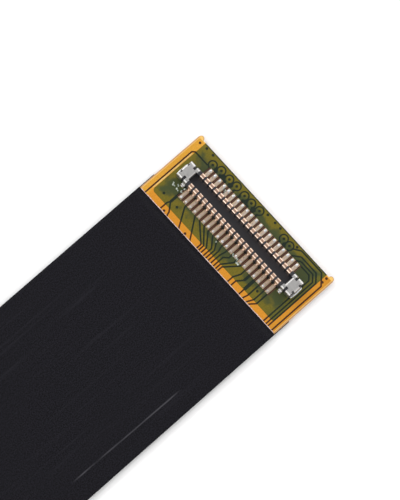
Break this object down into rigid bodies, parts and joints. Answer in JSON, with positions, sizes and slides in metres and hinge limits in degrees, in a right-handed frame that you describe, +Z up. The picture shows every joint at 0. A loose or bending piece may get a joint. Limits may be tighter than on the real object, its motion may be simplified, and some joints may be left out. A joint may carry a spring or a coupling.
{
  "type": "flat flexible printed circuit cable",
  "caption": "Flat flexible cable with a black shield film and a low board-to-board header on a stiffened amber and green end at each end.",
  "frame": {"origin": "on the resting surface, under the middle of the cable", "axes": "+X along the cable to the front end, +Y across it, +Z up out of the headers"},
  "size_m": [0.0824, 0.012, 0.0011],
  "materials": {
    "core_film": "satin polyimide film",
    "copper": "rolled copper foil",
    "coverlay": "satin amber polyimide film",
    "shield_film": "matte black film",
    "solder_mask": "semi-gloss olive green",
    "stiffener": "brushed stainless sheet",
    "bonding_sheet": "clear adhesive sheet",
    "housing": "matte black moulded polymer",
    "contact_plating": "bright plated",
    "fitting_metal": "satin tin plated",
    "solder": "bright solder"
  },
  "bodies": {
    "root": {"core_film": "core_film", "top_conductors": "copper", "bottom_conductors": "copper", "top_coverlay": "coverlay", "bottom_coverlay": "coverlay", "top_shield": "shield_film", "bottom_shield": "shield_film", "front_solder_mask": "solder_mask", "front_stiffener": "stiffener", "front_bonding_sheet": "bonding_sheet", "front_plated_holes": "copper", "front_housing": "housing", "front_outer_contacts": "contact_plating", "front_inner_contacts": "contact_plating", "front_left_fitting": "fitting_metal", "front_right_fitting": "fitting_metal", "front_outer_solder": "solder", "front_inner_solder": "solder", "front_fitting_solder": "solder", "rear_solder_mask": "solder_mask", "rear_stiffener": "stiffener", "rear_bonding_sheet": "bonding_sheet", "rear_plated_holes": "copper", "rear_housing": "housing", "rear_outer_contacts": "contact_plating", "rear_inner_contacts": "contact_plating", "rear_left_fitting": "fitting_metal", "rear_right_fitting": "fitting_metal", "rear_outer_solder": "solder", "rear_inner_solder": "solder", "rear_fitting_solder": "solder"}
  },
  "joints": []
}
